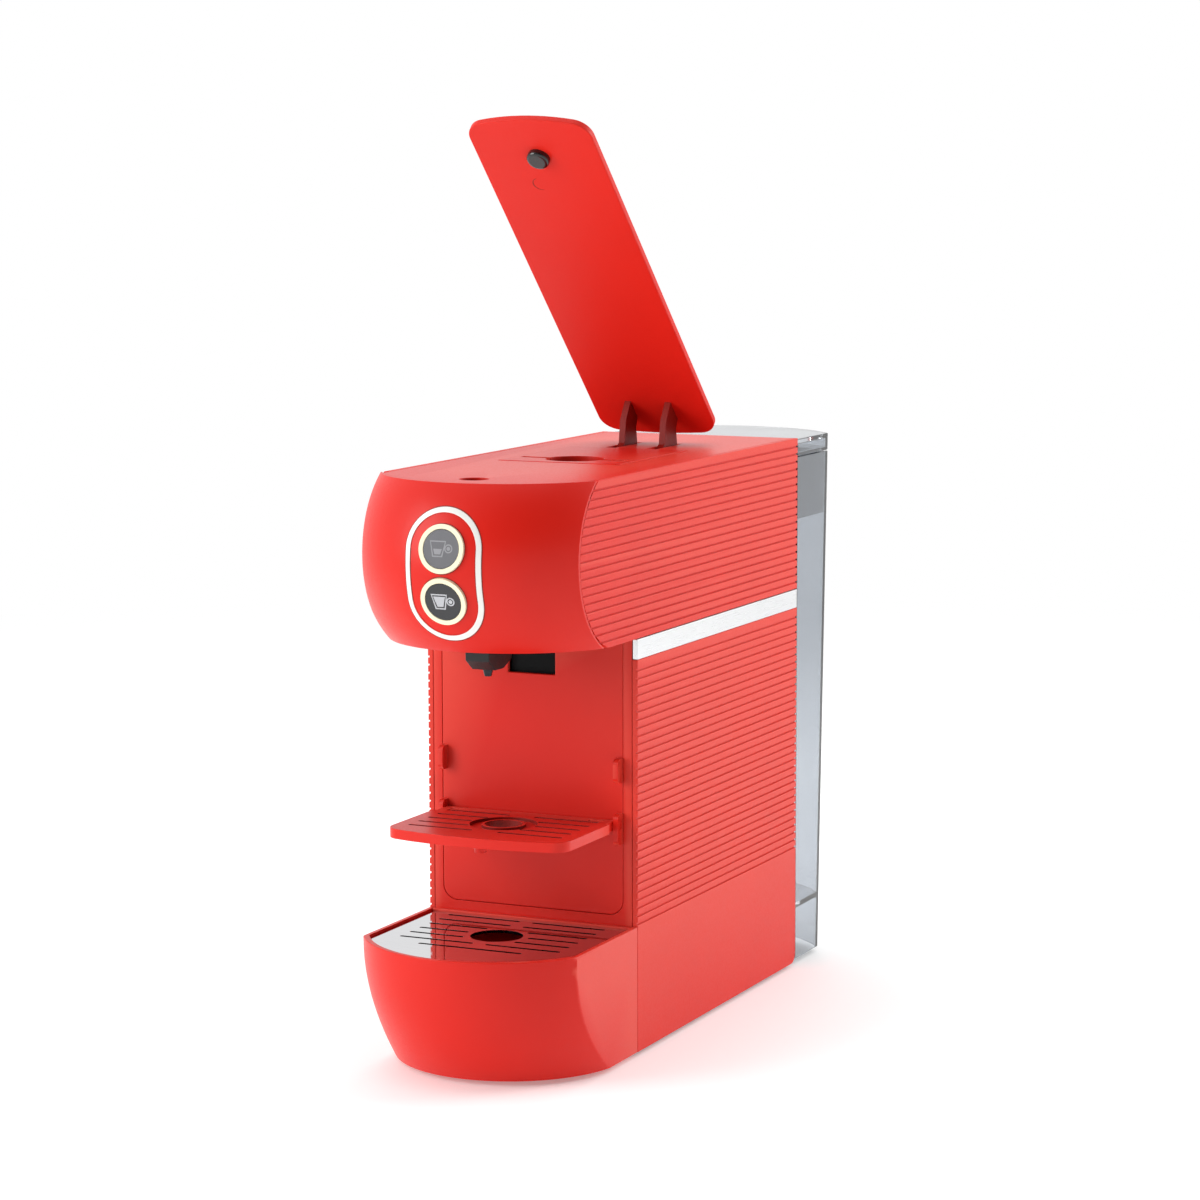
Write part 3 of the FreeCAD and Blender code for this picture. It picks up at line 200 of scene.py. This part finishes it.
def mirrorSteel(name, look):
    # Polished stainless sheet: nearly a mirror, broken only by hairlines from the last buffing.
    material, tree = newMaterial(name)
    place = addNode(tree, "ShaderNodeTexCoord")
    stretch = addNode(tree, "ShaderNodeMapping", {"Scale": look["stretch"]},
                      {"Vector": place.outputs["Object"]})
    hairs = objectNoise(tree, stretch, look["hair"], 4.0, "Vector")
    tone, rough, bump = (part(tree, look, hairs) for part in (mixedTone, variedRough, fineRelief))
    shader = addNode(tree, "ShaderNodeBsdfPrincipled", {"Metallic": 1.0},
                     {"Base Color": tone.outputs[2], "Roughness": rough.outputs["Result"],
                      "Normal": bump.outputs["Normal"]})
    finishMaterial(tree, shader)
    return material


chromedPlate = {"base": "#D6D6D8", "shade": "#C9C9CC", "hair": 0.8, "stretch": (0.05, 1.0, 1.0),
                "rough": 0.055, "vary": 0.015, "strength": 0.02, "depth": 0.01}
# Anodised strip, brushed along its length: hairs 0.1 mm wide, drawn at 0.5 mm so that they show.
brushedStrip = dict(chromedPlate, base="#E9EAEB", shade="#DCDDDE", hair=0.5, stretch=(1.0, 0.02, 1.0),
                    rough=0.3, vary=0.06, strength=0.12)
zincSteel = dict(chromedPlate, base="#9A9A9C", shade="#858588", stretch=(1.0, 1.0, 1.0), hair=1.5,
                 rough=0.34, vary=0.08, strength=0.15)
gunSteel = dict(zincSteel, base="#3C3C3F", shade="#2A2A2D", rough=0.3)
dieCast = dict(zincSteel, base="#A6A6A8", shade="#8E8E91", hair=2.2, rough=0.5, strength=0.4, depth=0.05)
tapedCopper = dict(zincSteel, base="#B06A3A", shade="#8A4A24", stretch=(0.1, 0.1, 1.0), hair=0.6,
                   rough=0.35, strength=0.5, depth=0.05)


def clearPlastic(name, look):
    # Styrene acrylonitrile: clear with a smoky tint, its inner face faintly wavy from the mould.
    material, tree = newMaterial(name)
    place = addNode(tree, "ShaderNodeTexCoord")
    wave = objectNoise(tree, place, look["wave"], 1.0)
    frost = objectNoise(tree, place, look["grain"], 2.0)
    tone, rough = mixedTone(tree, look, wave), variedRough(tree, look, frost)
    bump = fineRelief(tree, look, wave)
    shader = addNode(tree, "ShaderNodeBsdfPrincipled",
                     {"IOR": look["ior"], "Transmission Weight": look["clear"]},
                     {"Base Color": tone.outputs[2], "Roughness": rough.outputs["Result"],
                      "Normal": bump.outputs["Normal"]})
    finishMaterial(tree, shader)
    return material


smokedSan = {"base": "#C6CBD1", "shade": "#BFC5CC", "wave": 25.0, "grain": 1.0, "rough": 0.03,
             "vary": 0.01, "strength": 0.05, "depth": 0.1, "ior": 1.57, "clear": 1.0}
frostedSan = dict(smokedSan, base="#C4C6CC", shade="#BBBEC4", rough=0.4, vary=0.05, clear=0.55)

materials = {
    "red_shell": mouldedPlastic("satin_red_abs", redAbs),
    "red_ribbed": mouldedPlastic("ribbed_red_abs", redFlat),
    "black_plastic": mouldedPlastic("grained_black_abs", blackAbs),
    "inner_plastic": mouldedPlastic("glass_filled_nylon", nylon),
    "trim_metal": mirrorSteel("brushed_anodised_aluminium", brushedStrip),
    "polished_steel": mirrorSteel("polished_stainless_steel", chromedPlate),
    "bezel_white": mouldedPlastic("silver_white_plated_abs", platedWhite),
    "ring_cream": mouldedPlastic("cream_light_guide", creamGuide),
    "button_grey": mouldedPlastic("smoke_grey_acrylic", smokeDisc),
    "button_black": mouldedPlastic("near_black_acrylic", darkDisc),
    "tank_clear": clearPlastic("clear_styrene_acrylonitrile", smokedSan),
    "tank_frosted": clearPlastic("frosted_styrene_acrylonitrile", frostedSan),
    "rubber": mouldedPlastic("nitrile_rubber", nitrile),
    "steel": mirrorSteel("zinc_plated_steel", zincSteel),
    "cast_aluminium": mirrorSteel("die_cast_aluminium", dieCast),
    "copper_winding": mirrorSteel("taped_copper_winding", tapedCopper),
    "circuit_board": mouldedPlastic("green_solder_mask", solderMask),
    "silicone": mouldedPlastic("milky_silicone", milkySilicone),
}
shadedRed = mouldedPlastic("shade_and_seam_red_abs", shadeAndSeamRed)
ownFinish = {   # nodes whose finish differs from the rest of their slot
    # the hinge arms take the darker red as painted shade
    "lid": mouldedPlastic("matt_red_abs", redFlat), "hinge_arms": shadedRed,
    "lid_knob": mouldedPlastic("gloss_black_abs", blackGloss),
    # the outlet channel is painted blacker as shade
    "outlet_channel": mouldedPlastic("shadow_black_abs", shadowBlack),
    "spout_nozzle": mirrorSteel("blackened_steel", gunSteel),
}
slotShade = mirrorSteel("steel_edge_in_shade", dict(gunSteel, base="#1C1A1B", shade="#141213"))
marks = {"button_upper": mouldedPlastic("mid_grey_print", greyMark),
         "button_lower": mouldedPlastic("pale_grey_print", paleMark)}
for name, thing in nodes.items():
    for holder in thing.material_slots:
        holder.material = ownFinish.get(name, materials[slotOf[name]])
print("materials ready:", len(bpy.data.materials))


# Casing pieces with moulded edges: a copy of the CAD shape, merged, its flats joined, its edges rounded

shells = {   # node: rounding in millimetres
    "front_fascia": 0.2, "top_cover": 0.4, "chute_insert": 0.2, "bin_front": 0.5, "front_frame": 0.4,
    "side_panel_right": 0.1, "side_panel_left": 0.1, "head_panel_right": 0.1, "head_panel_left": 0.1,
    "trim_strip_right": 0.3, "trim_strip_left": 0.3, "lid": 0.5, "hinge_arms": 0.5, "cup_shelf": 0.2,
    "drip_tray": 0.4, "drip_grille": 0.15, "shelf_hooks": 0.9, "spout": 0.4, "rear_panel": 0.5,
    "head_floor": 0.3, "tank_lid": 0.4, "pod_bin": 0.2, "button_bezel": 0.15,
    "tank_body": 0.9, "tank_collar": 0.5,
}
edgeWork = {"sharp": 32, "flat": 0.3, "join": 0.002, "rows": 3}   # degrees, degrees, millimetres, segments
# Pieces with walls too thin or corners too close for a free rounding, which would fold faces over.
tightPieces = ("front_fascia", "shelf_hooks", "front_frame", "tank_body", "hinge_arms")


# slot walls painted darker as shade: steel in shade on the grille, the darker red on the shelf
slotFinish = {"drip_grille": slotShade, "cup_shelf": shadedRed}
slotArea = {"half": 39.0, "front": -132.5, "rear": -86.0, "low": 98.7}   # millimetres, on the shelf only
wallSlope = 0.3   # a face is a wall when the rise of its normal is less than this


def markSlots(name, mesh):
    # Walls of the slots take the second material, a darker finish that paints the shade inside the slots. A
    # face is one when its normal lies nearly level and, on the shelf, when its middle is inside the slotted
    # area: not on the outer rim, not on the peg below.
    normals, middles = np.empty((2, len(mesh.polygons) * 3))
    mesh.polygons.foreach_get("normal", normals)
    mesh.polygons.foreach_get("center", middles)
    x, y, z = middles.reshape(-1, 3).T
    inside = (abs(x) < slotArea["half"] * mm) & (slotArea["front"] * mm < y) & (y < slotArea["rear"] * mm) & (
        z > slotArea["low"] * mm)
    walls = (abs(normals[2::3]) < wallSlope) & (inside | (name == "drip_grille"))
    mesh.polygons.foreach_set("material_index", walls.astype(np.int32))


def roundedCopy(name, rounding):
    form = bmesh.new()
    form.from_mesh(nodes[name].data)
    bmesh.ops.remove_doubles(form, verts=form.verts, dist=edgeWork["join"] * mm)
    bmesh.ops.dissolve_limit(form, angle_limit=math.radians(edgeWork["flat"]), verts=form.verts,
                             edges=form.edges)
    mesh = bpy.data.meshes.new(name + "_shell")
    form.to_mesh(mesh)
    form.free()
    mesh.materials.clear()
    mesh.materials.append(ownFinish.get(name, materials[slotOf[name]]))
    mesh.polygons.foreach_set("use_smooth", np.ones(len(mesh.polygons), bool))
    if name in slotFinish:
        mesh.materials.append(slotFinish[name])
        markSlots(name, mesh)
    piece = bpy.data.objects.new(name + "_shell", mesh)
    bpy.context.scene.collection.objects.link(piece)
    bevel = piece.modifiers.new("edges", "BEVEL")
    bevel.width, bevel.segments = rounding * mm, edgeWork["rows"]
    bevel.limit_method, bevel.angle_limit = "ANGLE", math.radians(edgeWork["sharp"])
    bevel.use_clamp_overlap = name in tightPieces
    shading = piece.modifiers.new("shading", "WEIGHTED_NORMAL")
    shading.keep_sharp = False
    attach(piece, bodyOf[name])
    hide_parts(name)


for name, rounding in shells.items():
    roundedCopy(name, rounding)
print("casing pieces rounded:", len(shells))


# Printed and engraved lines that lie on the casing

ribbonBody = {"lift": 0.06, "sink": 0.2, "drop": 20.0}   # millimetres
# The four faces of one step of a strip: which end of the step each corner is at, and which of its four points.
stripEnd = np.array([(0, 0, 1, 1), (0, 1, 1, 0), (0, 1, 1, 0), (0, 0, 1, 1)])
stripCorner = np.array([(0, 2, 2, 0), (1, 1, 3, 3), (0, 0, 1, 1), (2, 3, 3, 2)])


def dropRibbon(name, node, plane, ribbons, material):
    # Each ribbon is two lines of one length on a flat drawing. Both are dropped straight down onto the node,
    # and the strip between them gets a body that stands a little over the surface and reaches into it.
    # A drawn point is the plane's middle plus its first number across and its second number up. It is lifted
    # out by the drop, and where it lands it gives two points, out by the lift and in by the sink.
    base = nodes[node].data
    ground = BVHTree.FromPolygons([v.co for v in base.vertices], [f.vertices for f in base.polygons])
    origin, across, up, out = (np.array(axis) for axis in plane)
    points, faces, start = [], [], 0
    for lines in ribbons:
        loop = bool(np.allclose(lines[0][0], lines[0][-1]))
        count = len(lines[0]) - loop
        flat = np.stack([line[:count] for line in lines], axis=1).reshape(-1, 2) * mm
        above = origin + flat @ np.stack([across, up]) + out * (ribbonBody["drop"] * mm)
        landed = np.array([ground.ray_cast(Vector(point), Vector(-out))[0] for point in above])
        body = [landed + out * (ribbonBody["lift"] * mm), landed - out * (ribbonBody["sink"] * mm)]
        points.append(np.stack(body, axis=1).reshape(-1, 3))
        step = np.arange(count if loop else count - 1)
        ends = start + 4 * np.stack([step, (step + 1) % count], axis=1)
        faces.append((ends[:, stripEnd] + stripCorner).reshape(-1, 4))
        if not loop:
            last = start + 4 * (count - 1)
            faces.append(np.array([(start, start + 1, start + 3, start + 2),
                                   (last, last + 2, last + 3, last + 1)]))
        start += 4 * count
    mesh = bpy.data.meshes.new(name)
    mesh.from_pydata(np.concatenate(points).tolist(), [], np.concatenate(faces).tolist())
    mesh.materials.append(material)
    form = bmesh.new()
    form.from_mesh(mesh)
    bmesh.ops.recalc_face_normals(form, faces=form.faces)
    form.to_mesh(mesh)
    form.free()
    piece = bpy.data.objects.new(name, mesh)
    bpy.context.scene.collection.objects.link(piece)
    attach(piece, bodyOf[node])


def arcLine(middle, radius, start, end, count=48):
    # middle plus the radius times the cosine and the sine of angles in even steps from start to end, in degrees
    turn = np.radians(np.linspace(start, end, count))
    return np.stack([middle[0] + radius * np.cos(turn), middle[1] + radius * np.sin(turn)], axis=1)


def stadiumLine(half, low, high):
    # over the round top, down the left side, under the round foot, up the right side, back to the start
    top, foot = arcLine((0, high - half), half, 0, 180), arcLine((0, low + half), half, 180, 360)
    left, right = (sideLine(a, b, 8)[1:-1] for a, b in ((top[-1], foot[0]), (foot[-1], top[0])))
    return np.concatenate([top, left, foot, right, top[:1]])


def sideLine(a, b, count=6):
    # points in even steps along the straight from a to b
    return np.array(a) + (np.array(b) - np.array(a)) * np.linspace(0, 1, count)[:, None]


def closedLine(corners):
    # the straight sides from each corner to the next, the last one back to the first corner
    sides = [sideLine(a, b)[:-1] for a, b in zip(corners, corners[1:] + corners[:1])]
    return np.concatenate(sides + [np.array(corners[:1])])


nose = {"y": -113.5, "z": 219.0, "radius": 51.0, "upper": 226.4, "lower": 204.6}   # millimetres
ringLine = (10.25, 10.6)   # inner and outer radius in millimetres


def nosePlane(height):
    # The head's front is an arc about the nose's middle. The plane touches it where the arc has this height:
    # its rise is the angle whose sine is the height over the middle divided by the radius.
    rise = math.asin((height - nose["z"]) / nose["radius"])
    out = Vector((0, -math.cos(rise), math.sin(rise)))
    middle = Vector((0, nose["y"], nose["z"])) * mm + out * (nose["radius"] * mm)
    return middle, Vector((1, 0, 0)), Vector((0, math.sin(rise), math.cos(rise))), out


frontPlane = (Vector((0, -165, 0)) * mm, Vector((1, 0, 0)), Vector((0, 0, 1)), Vector((0, -1, 0)))
bezelLine = {"half": 17.2, "low": 187.6, "high": 243.2, "band": 2.2, "width": 0.4}
wide = [stadiumLine(bezelLine["half"] + grow, bezelLine["low"] - grow, bezelLine["high"] + grow)
        for grow in (0.0, bezelLine["width"], -bezelLine["band"], -bezelLine["band"] - bezelLine["width"])]
dropRibbon("bezel_joint", "front_fascia", frontPlane, [wide[:2], wide[2:]], shadedRed)
for name, height in (("ring_joint_upper", nose["upper"]), ("ring_joint_lower", nose["lower"])):
    dropRibbon(name, "front_fascia", nosePlane(height),
               [tuple(arcLine((0, 0), radius, 0, 360) for radius in ringLine)], shadedRed)

# A cup in outline with a round handle; the short drink is marked by a low fill, the long one by a full one.
cup = {"middle": -1.5, "top": 3.7, "foot": 2.3, "rise": 3.35, "line": 0.55,
       "handle": (3.4, 0.2), "loop": 1.85, "gap": 0.45, "lean": 0.9}   # millimetres, lean a share


def cupRibbons(fill):
    # The outline runs between the corners and the corners moved in by the line's width; the fill between the
    # two lower inner corners and points that share of the way to the upper ones; the dot between two half arcs.
    def corner(inset):
        low, high = -cup["rise"] + inset, cup["rise"] - inset
        foot, top = cup["foot"] - inset * cup["lean"], cup["top"] - inset * cup["lean"]
        return [(cup["middle"] - foot, low), (cup["middle"] + foot, low),
                (cup["middle"] + top, high), (cup["middle"] - top, high)]
    inner = corner(cup["line"] * 2)
    level = [tuple(np.array(inner[side]) + (np.array(inner[3 - side]) - np.array(inner[side])) * fill)
             for side in (0, 1)]
    lobe = cup["loop"] - cup["line"]
    dot = lobe - cup["gap"]
    return [(closedLine(corner(0)), closedLine(corner(cup["line"]))),
            (arcLine(cup["handle"], cup["loop"], 0, 360), arcLine(cup["handle"], lobe, 0, 360)),
            (sideLine(inner[0], level[0]), sideLine(inner[1], level[1])),
            (arcLine(cup["handle"], dot, 265, 95, 16), arcLine(cup["handle"], dot, -85, 85, 16))]


for node, height, fill in (("button_upper", nose["upper"], 0.5), ("button_lower", nose["lower"], 1.0)):
    dropRibbon(node + "_cup_mark", node, nosePlane(height), cupRibbons(fill), marks[node])

# A crescent moulded into the lid's inner face: drawn with the lid shut, then turned open about the hinge.
crescent = {"place": (-5.0, -117.5, 252.6), "radius": 3.5, "width": 0.5, "from": 100, "to": 285, "steps": 24,
            "blunt": 0.1, "hinge": (0, 57.9, 241.0), "open": 44.5}   # millimetres and degrees, blunt in radians
hinge = Vector(crescent["hinge"]) * mm
swing = Matrix.Rotation(-math.radians(crescent["open"]), 3, "X")
bow = arcLine((0, 0), crescent["radius"], crescent["from"], crescent["to"], crescent["steps"])
# the inner line is the bow drawn in by the width times the sine of the way along, blunt at both tips
along = np.linspace(crescent["blunt"], math.pi - crescent["blunt"], crescent["steps"])
belly = bow * (1 - crescent["width"] / crescent["radius"] * np.sin(along))[:, None]
lidPlane = (hinge + swing @ (Vector(crescent["place"]) * mm - hinge), Vector((1, 0, 0)),
            swing @ Vector((0, -1, 0)), swing @ Vector((0, 0, -1)))
dropRibbon("lid_crescent", "lid", lidPlane, [(bow, belly)], shadedRed)
print("lines and marks laid on")


# Stage and light

studio = {"floorHalf": 6.0, "near": 0.5, "far": 1.4,   # metres
          "floor": "#F6F6F6", "rough": 0.6, "gloss": 0.2, "glow": 0.22}
room = {"darkSide": (0.75, -0.66, 0.0), "darkFrom": -0.2, "darkTo": 0.85, "least": 0.05,
        "skyFrom": 0.02, "skyTo": 0.2}   # shares of a unit direction


def buildStage():
    half = studio["floorHalf"]
    corners = np.array([(-half, -half, 0), (half, -half, 0), (half, half, 0), (-half, half, 0)])
    mesh = bpy.data.meshes.new("studio_floor")
    mesh.from_pydata(corners.tolist(), [], [(0, 1, 2, 3)])
    floor = bpy.data.objects.new("studio_floor", mesh)
    bpy.context.scene.collection.objects.link(floor)
    # matt paper round the object, which takes its shadow, and an evenly lit white sheet further out
    material, tree = newMaterial("matt_white_paper")
    place = addNode(tree, "ShaderNodeTexCoord")
    away = addNode(tree, "ShaderNodeVectorMath", {"operation": "LENGTH"}, {0: place.outputs["Object"]})
    outer = addNode(tree, "ShaderNodeMapRange", {"From Min": studio["near"], "From Max": studio["far"],
                                                 "interpolation_type": "SMOOTHSTEP"},
                    {"Value": away.outputs["Value"]})
    paper = addNode(tree, "ShaderNodeBsdfPrincipled",
                    {"Base Color": toLinear(studio["floor"]), "Roughness": studio["rough"],
                     "Specular IOR Level": studio["gloss"], "Emission Color": (1, 1, 1, 1),
                     "Emission Strength": studio["glow"]})
    sheet = addNode(tree, "ShaderNodeEmission", {"Strength": 1.0})
    finishMaterial(tree, addNode(tree, "ShaderNodeMixShader", None,
                                 {0: outer.outputs["Result"], 1: paper.outputs[0], 2: sheet.outputs[0]}))
    mesh.materials.append(material)


lamps = {   # place and aim in metres, size in metres, power in watts
    "key_left": {"place": (-1.2, -1.3, 0.75), "aim": (0, -0.1, 0.2), "size": (0.9, 1.2), "power": 18.0},
    "side_right": {"place": (1.2, 1.0, 0.8), "aim": (0, 0, 0.15), "size": (0.8, 1.0), "power": 13.5},
    "top": {"place": (0.0, 0.2, 1.8), "aim": (0, 0, 0), "size": (1.6, 1.6), "power": 8.0},
}


def hangLamp(name, lamp):
    light = bpy.data.lights.new(name, "AREA")
    light.shape = "RECTANGLE"
    light.size, light.size_y = lamp["size"]
    light.energy = lamp["power"]
    holder = bpy.data.objects.new(name, light)
    direction = Vector(lamp["aim"]) - Vector(lamp["place"])
    holder.matrix_world = Matrix.Translation(Vector(lamp["place"])) @ (
        direction.to_track_quat("-Z", "Y").to_matrix().to_4x4())
    bpy.context.scene.collection.objects.link(holder)


def lightRoom():
    # The room is white but for a dark side, so that the round front falls into shade. The dark follows how far
    # a direction points toward that side: the sum of the products of their three numbers.
    world = bpy.data.worlds.new("studio_room")
    bpy.context.scene.world = world
    world.use_nodes = True
    tree = world.node_tree
    tree.nodes.clear()
    place = addNode(tree, "ShaderNodeTexCoord")
    toward = addNode(tree, "ShaderNodeVectorMath", {"operation": "DOT_PRODUCT", 1: room["darkSide"]},
                     {0: place.outputs["Generated"]})
    depth = addNode(tree, "ShaderNodeMapRange", {"From Min": room["darkFrom"], "From Max": room["darkTo"],
                                                 "To Min": 1.0, "To Max": room["least"],
                                                 "interpolation_type": "SMOOTHSTEP"},
                    {"Value": toward.outputs["Value"]})
    # close to the horizon it stays white on every side, so that no view shows a dark edge behind the floor
    parts = addNode(tree, "ShaderNodeSeparateXYZ", None, {"Vector": place.outputs["Generated"]})
    raised = addNode(tree, "ShaderNodeMapRange", {"From Min": room["skyFrom"], "From Max": room["skyTo"],
                                                  "interpolation_type": "SMOOTHSTEP"},
                     {"Value": parts.outputs["Z"]})
    power = addNode(tree, "ShaderNodeMix", {"data_type": "FLOAT", 2: 1.0},
                    {0: raised.outputs["Result"], 3: depth.outputs["Result"]})
    glow = addNode(tree, "ShaderNodeBackground", {"Color": (1, 1, 1, 1)}, {"Strength": power.outputs[0]})
    addNode(tree, "ShaderNodeOutputWorld", None, {"Surface": glow.outputs["Background"]})


buildStage()
for name, lamp in lamps.items():
    hangLamp(name, lamp)
lightRoom()
bpy.context.scene.view_settings.view_transform = "Standard"
print("stage and light ready")
